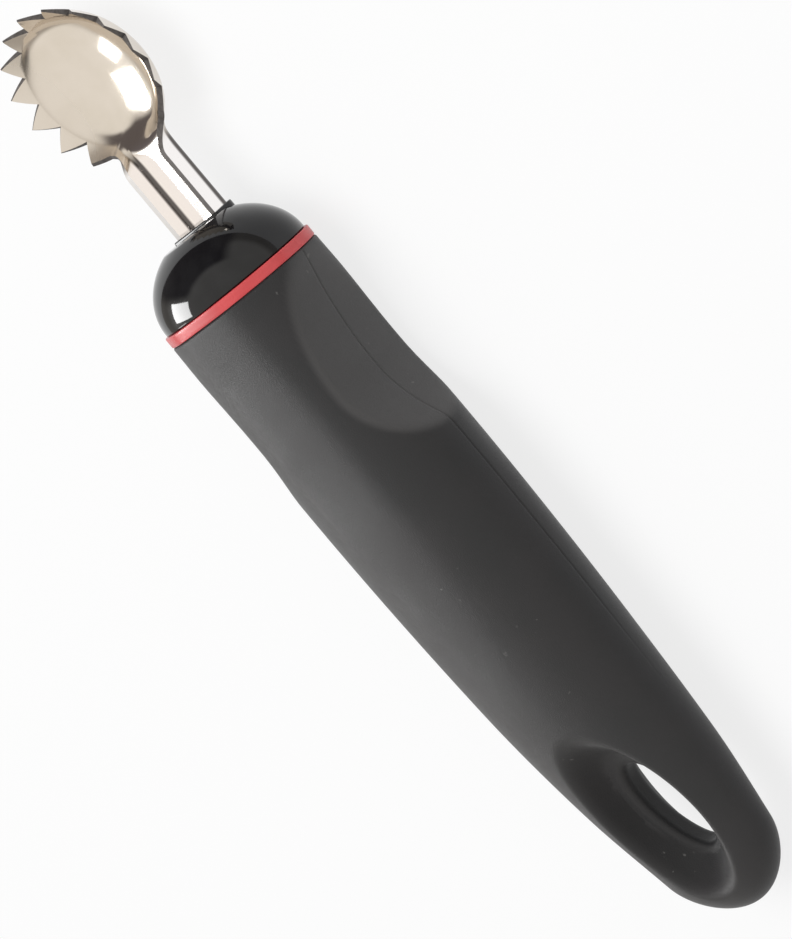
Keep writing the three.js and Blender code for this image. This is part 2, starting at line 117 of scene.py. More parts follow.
class Skin:
    """Grids of points that are welded into one mesh."""

    def __init__(self) -> None:
        """Start with no points."""
        self.points: list[np.ndarray] = []
        self.faces: list[np.ndarray] = []
        self.count = 0

    def add(self, grid: np.ndarray) -> None:
        """Add a grid as quads between neighbouring points.

        Args:
            grid: Rows x columns x 3 in millimetres from the ring's middle. A row or column that falls into
                one point closes a pole, and one that repeats another closes a seam.
        """
        rows, columns = grid.shape[:2]
        index = np.arange(rows * columns).reshape(rows, columns) + self.count
        corners = [index[:-1, :-1], index[:-1, 1:], index[1:, 1:], index[1:, :-1]]
        self.faces.append(np.stack(corners, axis=-1).reshape(-1, 4))
        self.points.append(grid.reshape(-1, 3))
        self.count += rows * columns

    def add_both(self, grid: np.ndarray) -> None:
        """Add a grid of the +Y side and its mirror image."""
        self.add(grid)
        self.add(grid[:, ::-1] * MIRROR)

    def piece(self, name: str) -> bpy.types.Object:
        """Weld the grids into an object at the origin, with its faces outwards.

        Args:
            name: Name of the piece.

        Returns:
            The new object, linked to the scene.
        """
        points = np.concatenate(self.points) * MM + ring_origin()
        faces = np.concatenate(self.faces)
        mesh = bpy.data.meshes.new(name)
        mesh.vertices.add(len(points))
        mesh.vertices.foreach_set("co", points.astype(np.float32).ravel())
        mesh.loops.add(faces.size)
        mesh.loops.foreach_set("vertex_index", faces.astype(np.int32).ravel())
        mesh.polygons.add(len(faces))
        mesh.polygons.foreach_set("loop_start", np.arange(0, faces.size, 4, dtype=np.int32))
        mesh.update(calc_edges=True)
        work = bmesh.new()
        work.from_mesh(mesh)
        bmesh.ops.remove_doubles(work, verts=work.verts, dist=WELD)
        bmesh.ops.recalc_face_normals(work, faces=work.faces)
        work.to_mesh(mesh)
        work.free()
        mesh.validate()
        shade(mesh)
        made = bpy.data.objects.new(name, mesh)
        bpy.context.scene.collection.objects.link(made)
        return made


def shade(mesh: bpy.types.Mesh) -> None:
    """Shade a mesh smooth, with sharp edges where its faces meet at more than the crisp angle."""
    mesh.shade_smooth()
    mesh.set_sharp_from_angle(angle=CRISP)


def carve(base: bpy.types.Object, tool: bpy.types.Object, how: Carve) -> None:
    """Join a closed tool to a closed piece, or cut it away, and remove the tool.

    Args:
        base: Piece that is changed for good.
        tool: Closed shape that works on it.
        how: Whether the tool is joined or cut away.
    """
    step = base.modifiers.new("carve", "BOOLEAN")
    step.operation = how.value
    step.solver = "EXACT"
    step.object = tool
    graph = bpy.context.evaluated_depsgraph_get()
    carved = bpy.data.meshes.new_from_object(base.evaluated_get(graph))
    base.modifiers.clear()
    spent = base.data
    base.data = carved
    bpy.data.meshes.remove(spent)
    bpy.data.objects.remove(tool)


def fit_out(piece: bpy.types.Object, node: str, slot: str, *finishes: bpy.types.Material) -> None:
    """Give a piece its materials and let it stand for a CAD node.

    Args:
        piece: Finished piece.
        node: CAD node that it replaces.
        slot: Material slot of the record. Not used.
        finishes: Finish of the piece, and of its cut edges if it has one.
    """
    piece.data.materials.clear()
    for material in finishes:
        piece.data.materials.append(material)
    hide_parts(node)
    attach(piece, BODY)
    log.info("%s: %d faces stand for %s", piece.name, len(piece.data.polygons), node)


class Graph:
    """Short calls that add and join nodes in one node tree."""

    def __init__(self, tree: bpy.types.NodeTree) -> None:
        """Take the tree to work on."""
        self.tree = tree

    def add(self, kind: str) -> bpy.types.Node:
        """New node of a kind, named without its common beginning."""
        return self.tree.nodes.new("ShaderNode" + kind)

    def feed(self, socket: Socket, value: Feed) -> None:
        """Join an output to a socket, or set a number or a colour on it.

        Args:
            socket: Socket to feed.
            value: Output, number or colour.
        """
        if isinstance(value, Socket):
            self.tree.links.new(value, socket)
        elif isinstance(value, tuple) and socket.type == "RGBA":
            socket.default_value = (*value, 1.0)
        else:
            socket.default_value = value

    def ray(self, kind: str) -> Socket:
        """1 for rays of the given kind and 0 for others."""
        return self.add("LightPath").outputs[kind]

    def seen(self) -> Socket:
        """1 for rays that the camera sends straight, through glass or off a gloss, and 0 for others."""
        value = self.ray("Is Camera Ray")
        for kind in ("Is Glossy Ray", "Is Transmission Ray"):
            value = self.math("MAXIMUM", value, self.ray(kind))
        return value

    def math(self, operation: str, *values: Socket | float) -> Socket:
        """Result of a sum, a product or the like.

        Args:
            operation: Blender's name of the operation.
            values: Values that go in.

        Returns:
            The result.
        """
        node = self.add("Math")
        node.operation = operation
        for socket, value in zip(node.inputs, values):
            self.feed(socket, value)
        return node.outputs[0]

    def times(self, a: Socket, b: Socket | float) -> Socket:
        """Product of two values."""
        return self.math("MULTIPLY", a, b)

    def range(
        self, value: Socket, low: float, high: float, start: float = 0.0, end: float = 1.0
    ) -> Socket:
        """Carry a value smoothly from one range to another.

        Args:
            value: Value to carry.
            low: Value that becomes start.
            high: Value that becomes end.
            start: New value at low.
            end: New value at high.

        Returns:
            The new value, held between start and end.
        """
        node = self.add("MapRange")
        node.interpolation_type = "SMOOTHSTEP"
        for name, number in (("From Min", low), ("From Max", high), ("To Min", start), ("To Max", end)):
            node.inputs[name].default_value = number
        self.feed(node.inputs["Value"], value)
        return node.outputs["Result"]

    def blend(self, share: Socket, first: Feed, second: Feed) -> Socket:
        """Blend of two colours.

        Args:
            share: 0 for the first colour, 1 for the second.
            first: Colour or colour output.
            second: Colour or colour output.

        Returns:
            The blended colour.
        """
        node = self.add("MixRGB")
        for socket, value in zip(node.inputs, (share, first, second)):
            self.feed(socket, value)
        return node.outputs["Color"]

    def split(self, vector: Socket) -> tuple[Socket, ...]:
        """The three shares of a vector."""
        node = self.add("SeparateXYZ")
        self.feed(node.inputs["Vector"], vector)
        return tuple(node.outputs)


class Recipe(Graph):
    """Node tree of one material."""

    def __init__(self, name: str) -> None:
        """Start from a bare surface.

        Args:
            name: Name of the material.
        """
        self.material = bpy.data.materials.new(name)
        self.material.use_nodes = True
        super().__init__(self.material.node_tree)
        self.surface = self.tree.nodes["Principled BSDF"]
        self.place = self.add("TexCoord").outputs["Object"]

    def set(self, **values: Feed) -> None:
        """Set or join the surface's sockets, with _ for a space in the socket's name."""
        for name, value in values.items():
            self.feed(self.surface.inputs[name.replace("_", " ")], value)

    def places(self) -> tuple[Socket, ...]:
        """Place on the piece from the ring's middle, in millimetres: along the tool, across it and up."""
        from_ring = self.add("VectorMath")
        from_ring.operation = "SUBTRACT"
        self.feed(from_ring.inputs[0], self.place)
        self.feed(from_ring.inputs[1], tuple(ring_origin()))
        in_mm = self.add("VectorMath")
        in_mm.operation = "SCALE"
        self.feed(in_mm.inputs[0], from_ring.outputs["Vector"])
        self.feed(in_mm.inputs["Scale"], 1 / MM)
        return self.split(in_mm.outputs["Vector"])

    def mark(self, name: str) -> Socket:
        """Value from 0 to 1 that is kept on the piece's points under a name."""
        node = self.add("Attribute")
        node.attribute_name = name
        return node.outputs["Fac"]

    def mottle(self, cloud: Socket, first: Colour, second: Colour) -> Socket:
        """Blend of two colours by a cloudy noise."""
        return self.blend(self.range(cloud, 0.35, 0.65), first, second)

    def vary(self, cloud: Socket, span: Span) -> Socket:
        """Value that a cloudy noise carries over a span."""
        return self.range(cloud, 0.3, 0.7, *span)

    def noise(self, scale: float, detail: float, rough: float = 0.5) -> Socket:
        """Cloudy noise on the piece.

        Args:
            scale: Patches to the metre.
            detail: Octaves of finer noise.
            rough: Share that each finer octave keeps.

        Returns:
            Noise value, mostly from 0.3 to 0.7.
        """
        node = self.add("TexNoise")
        settings = {"Vector": self.place, "Scale": scale, "Detail": detail, "Roughness": rough}
        for name, value in settings.items():
            self.feed(node.inputs[name], value)
        return node.outputs["Fac"]

    def relief(
        self, height: Socket, depth: float, under: Socket | None = None
    ) -> Socket:
        """Fine surface relief.

        Args:
            height: Height from 0 to 1.
            depth: Depth of the relief in millimetres.
            under: Normal of coarser relief that this lies on.

        Returns:
            The new normal.
        """
        node = self.add("Bump")
        self.feed(node.inputs["Distance"], depth * MM)
        self.feed(node.inputs["Height"], height)
        if under is not None:
            self.feed(node.inputs["Normal"], under)
        return node.outputs["Normal"]


@dataclass(frozen=True)
class BladeSteel:
    """Stainless sheet: a warm pan, duller on its far side, and a pale, glossy shank with painted shade in its
    bends.
    """

    pan: Colour = (0.73, 0.67, 0.60)
    pan_dull: Colour = (0.695, 0.635, 0.56)
    shank: Colour = (0.95, 0.92, 0.905)
    # Dark grey painted into the shank's inner bends as painted shade.
    painted_bend_shade: Colour = (0.12, 0.11, 0.105)
    pan_gloss: Span = (0.10, 0.28)
    shank_gloss: float = 0.08
    neck: Span = (22.5, 25.5)
    dulling: Span = (3.0, 9.0)
    bend_side: Span = (3.45, 3.75)
    bend_under: Span = (-4.5, -4.2)
    bend_top: Span = (-3.5, -3.0)

    def material(self) -> bpy.types.Material:
        """Steel whose tint and gloss change at the neck, with a faint cloud, fine marks and painted shade
        darkening the shank's bends.
        """
        recipe = Recipe("blade_steel")
        along, across, up = recipe.places()
        in_pan = recipe.range(along, *self.neck)
        # Painted shade: bend and at_side mark the shank's inner bends, whose colour is darkened there to
        # stand in for shade in the creases.
        bend = recipe.times(recipe.range(up, *self.bend_under), recipe.range(up, *self.bend_top, 1.0, 0.0))
        at_side = recipe.range(recipe.math("ABSOLUTE", across), *self.bend_side)
        cloud = recipe.noise(scale=150.0, detail=3.0)
        marks = recipe.noise(scale=2600.0, detail=2.0)
        pan = recipe.mottle(cloud, self.pan, self.pan_dull)
        shank = recipe.blend(recipe.times(bend, at_side), self.shank, self.painted_bend_shade)
        dull = recipe.times(in_pan, recipe.range(across, *self.dulling, *self.pan_gloss))
        recipe.set(
            Metallic=1.0,
            Base_Color=recipe.blend(in_pan, shank, pan),
            Roughness=recipe.math("MAXIMUM", dull, self.shank_gloss),
            Normal=recipe.relief(marks, depth=0.001, under=recipe.relief(cloud, depth=0.01)),
        )
        return recipe.material


@dataclass(frozen=True)
class CutSteel:
    """Cut edges of the sheet: dull grey with fine drag marks, with a painted highlight in pale grey on the
    shank's far side.
    """

    grey: Colour = (0.105, 0.094, 0.088)
    light: Colour = (0.150, 0.136, 0.128)
    # Pale colour painted on the shank's far cut edge as a painted highlight.
    painted_edge_highlight: Colour = (0.74, 0.71, 0.68)
    shank: Span = (24.0, 22.0)
    far: Span = (-1.0, 1.0)
    roughness: Span = (0.45, 0.60)

    def material(self) -> bpy.types.Material:
        """Matt grey that hardly mirrors the room."""
        recipe = Recipe("cut_steel")
        along, across, _ = recipe.places()
        drag = recipe.noise(scale=1800.0, detail=2.0)
        cut = recipe.mottle(drag, self.grey, self.light)
        # Painted highlight: the shank's far cut edge is coloured pale, standing in for the light it catches.
        pale_mark = recipe.times(recipe.range(along, *self.shank), recipe.range(across, *self.far))
        recipe.set(
            Specular_IOR_Level=0.15,
            Base_Color=recipe.blend(pale_mark, cut, self.painted_edge_highlight),
            Roughness=recipe.vary(drag, self.roughness),
            Normal=recipe.relief(drag, depth=0.002),
        )
        return recipe.material


@dataclass(frozen=True)
class GlossPlastic:
    """Polished black moulding of the nose."""

    black: Colour = (0.004, 0.004, 0.005)
    worn: Colour = (0.009, 0.009, 0.010)
    roughness: Span = (0.05, 0.09)
    haze: Span = (0.4, 0.7)
    dulling: Span = (0.35, 0.7)

    def material(self) -> bpy.types.Material:
        """Deep black with a slightly wavy gloss and faint handling haze."""
        recipe = Recipe("gloss_black")
        haze = recipe.noise(scale=220.0, detail=4.0)
        recipe.set(
            IOR=1.45,
            Base_Color=recipe.blend(recipe.range(haze, *self.haze), self.black, self.worn),
            Roughness=recipe.range(haze, *self.dulling, *self.roughness),
            Normal=recipe.relief(recipe.noise(scale=300.0, detail=1.0), depth=0.008),
        )
        return recipe.material


@dataclass(frozen=True)
class RedPlastic:
    """Satin red moulding of the accent ring."""

    red: Colour = (0.66, 0.075, 0.080)
    deep: Colour = (0.58, 0.060, 0.065)
    roughness: Span = (0.26, 0.36)

    def material(self) -> bpy.types.Material:
        """Red with faint moulding flow and a satin surface."""
        recipe = Recipe("satin_red")
        flow = recipe.noise(scale=180.0, detail=2.0)
        recipe.set(
            IOR=1.48,
            Base_Color=recipe.mottle(flow, self.red, self.deep),
            Roughness=recipe.vary(flow, self.roughness),
            Normal=recipe.relief(recipe.noise(scale=3000.0, detail=2.0), depth=0.002),
        )
        return recipe.material


@dataclass(frozen=True)
class HardPlastic:
    """Dull black moulding of the core inside the handle."""

    black: Colour = (0.012, 0.012, 0.013)
    grey: Colour = (0.020, 0.020, 0.021)
    roughness: Span = (0.45, 0.60)

    def material(self) -> bpy.types.Material:
        """Dull black with a fine moulded grain."""
        recipe = Recipe("hard_black")
        flow = recipe.noise(scale=120.0, detail=3.0)
        recipe.set(
            Base_Color=recipe.mottle(flow, self.black, self.grey),
            Roughness=recipe.vary(flow, self.roughness),
            Normal=recipe.relief(recipe.noise(scale=2400.0, detail=2.0), depth=0.004),
        )
        return recipe.material


@dataclass(frozen=True)
class SoftRubber:
    """Charcoal soft-touch rubber of the grip, with worn pale specks and painted light that makes the edge
    hollows paler.
    """

    charcoal: Colour = (0.017, 0.017, 0.018)
    faded: Colour = (0.023, 0.022, 0.023)
    pale_mark: Colour = (0.16, 0.155, 0.15)
    # Paler grey painted into the edge hollows as painted light.
    hollow: Colour = (0.068, 0.066, 0.066)
    roughness: Span = (0.48, 0.58)
    patches: Span = (0.57, 0.66)
    specks: Span = (0.69, 0.74)
    speck_share: float = 0.55

    def material(self) -> bpy.types.Material:
        """Charcoal with slow fading, a matt grain, edge hollows painted paler as painted light, and a few
        pale specks in patches.
        """
        recipe = Recipe("soft_rubber")
        fading = recipe.noise(scale=70.0, detail=4.0)
        grain = recipe.noise(scale=5200.0, detail=3.0, rough=0.6)
        patch = recipe.range(recipe.noise(scale=55.0, detail=1.0), *self.patches)
        speck = recipe.range(recipe.noise(scale=900.0, detail=2.0), *self.specks, end=self.speck_share)
        body = recipe.mottle(fading, self.charcoal, self.faded)
        # Painted light: the edge hollows are coloured paler, standing in for the light that falls into them.
        body = recipe.blend(recipe.mark(HOLLOW), body, self.hollow)
        recipe.set(
            IOR=1.42,
            Sheen_Weight=0.12,
            Sheen_Roughness=0.45,
            Base_Color=recipe.blend(recipe.times(patch, speck), body, self.pale_mark),
            Roughness=recipe.vary(fading, self.roughness),
            Normal=recipe.relief(grain, depth=0.05),
        )
        return recipe.material


@dataclass(frozen=True)
class ChannelForm:
    """Channel section of shank, nose and tang: a flat floor, two bends and straight sides."""

    half: float = 4.9
    bottom: float = -4.8
    corner: float = 1.3
    wall: float = 2.45
    sheet: float = 0.9
    bend_steps: int = 12

    @property
    def floor_half(self) -> float:
        """Half width of the flat floor."""
        return self.half - self.corner

    @property
    def bend(self) -> float:
        """Height of the bends' middles."""
        return self.bottom + self.corner

    @property
    def top(self) -> float:
        """Height of the channel's edges."""
        return self.bend + self.wall

    def outline(self, grow: float, top_round: float) -> np.ndarray:
        """Closed outline round the whole channel: four quarter rounds joined by straight sides.

        Args:
            grow: Margin outside the sheet.
            top_round: Radius of the two upper corners.

        Returns:
            Points (y, z), the last one equal to the first.
        """
        quarter = np.linspace(0, np.pi / 2, self.bend_steps + 1)
        side = self.half + grow - top_round
        top = self.top + grow - top_round
        rounds = (
            (-self.floor_half, self.bend, self.corner + grow),
            (self.floor_half, self.bend, self.corner + grow),
            (side, top, top_round),
            (-side, top, top_round),
        )
        loop = []
        for number, (y, z, radius) in enumerate(rounds):
            turn = np.pi + number * np.pi / 2 + quarter
            loop.append(np.stack([y + radius * np.cos(turn), z + radius * np.sin(turn)], axis=-1))
        return np.concatenate([*loop, loop[0][:1]])

    def sheet_path(self) -> tuple[np.ndarray, np.ndarray]:
        """Middle of the sheet from one edge of the channel to the other.

        Returns:
            Points (y, z) along the U, and the outward direction (y, z) at each.
        """
        quarter = np.linspace(0, np.pi / 2, self.bend_steps + 1)
        turn = np.concatenate([[np.pi], np.pi + quarter, 1.5 * np.pi + quarter, [2 * np.pi]])
        out = np.stack([np.cos(turn), np.sin(turn)], axis=-1)
        bend_y = np.repeat([-self.floor_half, self.floor_half], len(turn) // 2)
        bends = np.stack([bend_y, np.full(turn.shape, self.bend)], axis=-1)
        path = bends + out * (self.corner - self.sheet / 2)
        path[[0, -1], 1] = self.top
        return path, out


@dataclass
class ScoopBlade:
    """Pressed blade: a pan with a flared, toothed wall that runs through a neck into the channel shank."""

    channel: ChannelForm
    finish: BladeSteel = field(default_factory=BladeSteel)
    cut: CutSteel = field(default_factory=CutSteel)
    centre: float = 36.0
    radius: float = 11.98
    foot: float = 1.05
    corner: float = 6.0
    floor_slope: float = math.radians(22)
    wall_slope: float = math.radians(60)
    wall_height: float = 0.1
    nose_up: float = math.tan(math.radians(4.5))
    teeth: int = 13
    tooth_height: float = 2.65
    neck_opening: float = math.radians(65)
    neck_edge: float = 1.2
    neck_length: float = 4.9
    neck_sweep: float = 0.6
    neck_hold: float = 0.25
    neck_round: float = 1.8
    tooth_edge: float = 0.38
    tang: float = 20.0
    edge_round: float = 0.07
    edge_angle: float = math.radians(50)
    tooth_steps: int = 16
    floor_steps: int = 12
    corner_steps: int = 16
    edge_steps: int = 6
    neck_steps: int = 40
    shank_steps: int = 40

    @property
    def wall_start(self) -> float:
        """Distance from the pan's middle at which its wall runs straight."""
        return self.radius - self.wall_height / math.tan(self.wall_slope)

    @property
    def corner_start(self) -> float:
        """Distance from the pan's middle at which its floor turns into the corner."""
        return self.wall_start - self.corner * (math.sin(self.wall_slope) - math.sin(self.floor_slope))

    def pan_shares(self) -> np.ndarray:
        """Shares of the pan's radius for a row's points: even turns over floor and corner, then the foot."""
        low = np.linspace(0, self.floor_slope, self.floor_steps + 1)
        turn = np.linspace(self.floor_slope, self.wall_slope, self.corner_steps + 1)[1:]
        floor = self.corner_start * np.sin(low) / math.sin(self.floor_slope)
        corner = self.corner_start + self.corner * (np.sin(turn) - math.sin(self.floor_slope))
        return np.concatenate([floor, corner, [self.radius]]) / self.radius

    def pan_height(self, distance: np.ndarray) -> np.ndarray:
        """Height of the pan's outside above the foot of the teeth.

        A floor arc whose slope grows to the floor slope, a corner arc on to the wall slope, and a straight
        wall that goes on beyond the foot.

        Args:
            distance: Distances from the pan's middle.

        Returns:
            Heights, below 0 inside the foot and above 0 beyond it.
        """
        dish = self.corner_start / math.sin(self.floor_slope)
        corner_middle = self.corner * math.cos(self.wall_slope) - self.wall_height
        floor_middle = corner_middle + (dish - self.corner) * math.cos(self.floor_slope)
        floor = floor_middle - np.sqrt(dish**2 - np.minimum(distance, self.corner_start) ** 2)
        sine = math.sin(self.floor_slope) + (distance - self.corner_start) / self.corner
        corner = corner_middle - self.corner * np.sqrt(1 - np.clip(sine, 0.0, math.sin(self.wall_slope)) ** 2)
        wall = (distance - self.radius) * math.tan(self.wall_slope)
        return np.select([distance > self.wall_start, distance > self.corner_start], [wall, corner], floor)

    def channel_half(self) -> tuple[np.ndarray, np.ndarray]:
        """Half of the channel's outside, with as many points as a row of the pan.

        Returns:
            Share of the half width, and height.
        """
        form = self.channel
        floor = np.linspace(0, form.floor_half, self.floor_steps + 1)[:-1]
        turn = np.linspace(0, np.pi / 2, self.corner_steps + 2)
        y = np.concatenate([floor, form.floor_half + form.corner * np.sin(turn)])
        z = np.concatenate([np.full(floor.shape, form.bottom), form.bend - form.corner * np.cos(turn)])
        return y / form.half, z

    def rim(self) -> dict[str, np.ndarray]:
        """Half of the rim from the tip to the tang's end, as one value for each row.

        Returns:
            Place of the rim (x, y), start of the row on the spine, blend of the row's shares from pan to
            channel, way through the neck from 0 to 1, and edge height.
        """
        last = math.pi - self.neck_opening / 2
        pitch = 2 * last / self.teeth
        angle = np.linspace(0, last, self.teeth * self.tooth_steps // 2 + 1)
        step = (last - angle) / pitch % 1
        low = np.where(angle > last - pitch / 2, self.neck_edge, 0.0)
        tooth = mix(low, self.tooth_height, 1 - np.abs(2 * step - 1))
        pan_x = self.centre + self.radius * np.cos(angle)
        pan_y = self.radius * np.sin(angle)

        t = np.linspace(0, 1, self.neck_steps + 1)[1:]
        end_x, end_y = pan_x[-1], pan_y[-1]
        run = (end_y - self.channel.half) / -math.cos(last)
        turn_x = end_x - run * math.sin(last)
        straight = end_x - self.neck_length
        neck_x = (1 - t) ** 2 * end_x + 2 * t * (1 - t) * turn_x + t**2 * straight
        neck_y = (1 - t) ** 2 * end_y + (1 - (1 - t) ** 2) * self.channel.half
        sweep = ease(t / self.neck_sweep)
        neck = ease((t - self.neck_hold) / (1 - self.neck_hold))
        shank_x = np.linspace(straight, -self.tang, self.shank_steps + 1)[1:]
        ones = np.ones(self.shank_steps)
        none = np.zeros(angle.shape)
        neck_wall = mix(self.neck_edge, self.channel.wall, neck)
        rows = {
            "x": (pan_x, neck_x, shank_x),
            "y": (pan_y, neck_y, ones * self.channel.half),
            "spine": (none + self.centre, mix(self.centre, neck_x, sweep), shank_x),
            "blend": (none, neck, ones),
            "way": (none, t, ones),
            "edge": (tooth, neck_wall, ones * self.channel.wall),
        }
        return {name: np.concatenate(parts) for name, parts in rows.items()}

    def half_sheet(self) -> np.ndarray:
        """Outside of one half of the blade: each row runs from the spine to the rim's edge.

        A row's points lie between spine and rim by their share of the radius. Through the neck their height
        is the softly lesser one of the tipped pan's, whose wall goes on up, and of the channel's.

        Returns:
            Rows x columns x 3.
        """
        pan_share = self.pan_shares()
        channel_share, channel_z = self.channel_half()
        rim = {name: values[:, None] for name, values in self.rim().items()}
        edge = rim["edge"] * np.linspace(0, 1, self.edge_steps + 1)[None, 1:]
        lean = (1 - rim["blend"]) / (math.tan(self.wall_slope) * self.radius)
        inner = mix(pan_share[None], channel_share[None], rim["blend"])
        share = np.concatenate([inner, 1 + edge * lean], axis=1)
        low = np.broadcast_to(channel_z, (len(edge), len(channel_z)))
        trough = np.concatenate([low, self.channel.bend + edge], axis=1)
        x = mix(rim["spine"], rim["x"], share)
        y = rim["y"] * share
        pan = self.pan_height(np.hypot(x - self.centre, y))
        tipped = self.channel.bottom + self.foot + pan + self.nose_up * (x - self.centre)
        width = np.maximum(self.neck_round * ease(rim["way"] / self.neck_hold), TINY)
        joined = soft_min(tipped, trough, width)
        z = np.select([rim["way"] == 0, rim["way"] == 1], [tipped, trough], joined)
        return stack(x, y, z)

    def build(self) -> bpy.types.Object:
        """Both halves as one sheet, thickened upwards, with its cut edges broken."""
        skin = Skin()
        skin.add_both(self.half_sheet())
        piece = skin.piece("toothed_scoop")
        face_up(piece.data)
        self.grind(piece)
        wall = piece.modifiers.new("sheet", "SOLIDIFY")
        wall.thickness = self.channel.sheet * MM
        wall.offset = 1.0
        wall.use_even_offset = True
        wall.material_offset_rim = 1
        wall.vertex_group = THICKNESS
        broken = piece.modifiers.new("broken_edges", "BEVEL")
        broken.width = self.edge_round * MM
        broken.segments = 2
        broken.limit_method = "ANGLE"
        broken.angle_limit = self.edge_angle
        broken.harden_normals = True
        fit_out(piece, "scoop_blade", "scoop_steel", self.finish.material(), self.cut.material())
        return piece

    def grind(self, piece: bpy.types.Object) -> None:
        """Weigh the sheet's thickness down towards the edges of the teeth.

        The weight falls from 1 at the foot of the wall to the tooth edge's share at the tooth height, in the
        pan alone.

        Args:
            piece: Open sheet of the blade.
        """
        x, _, z = places_of(piece.data)
        foot = self.channel.bottom + self.foot + self.nose_up * (x - self.centre)
        neck = self.centre - self.radius * math.cos(self.neck_opening / 2)
        tooth = np.clip((z - foot) / self.tooth_height, 0, 1) * ease((x - neck) / self.neck_length)
        weight = mix(1.0, self.tooth_edge, tooth)
        group = piece.vertex_groups.new(name=THICKNESS)
        for index, value in enumerate(weight):
            group.add([index], float(value), "REPLACE")


def places_of(mesh: bpy.types.Mesh) -> np.ndarray:
    """Places of a mesh's points from the ring's middle, in millimetres, as rows x, y and z."""
    points = np.zeros(len(mesh.vertices) * 3, np.float32)
    mesh.vertices.foreach_get("co", points)
    return ((points.reshape(-1, 3) - ring_origin()) / MM).T


def face_up(mesh: bpy.types.Mesh) -> None:
    """Turn an open sheet's faces over if most of them look down."""
    normals = np.zeros(len(mesh.polygons) * 3, np.float32)
    mesh.polygons.foreach_get("normal", normals)
    if normals[2::3].sum() < 0:
        mesh.flip_normals()


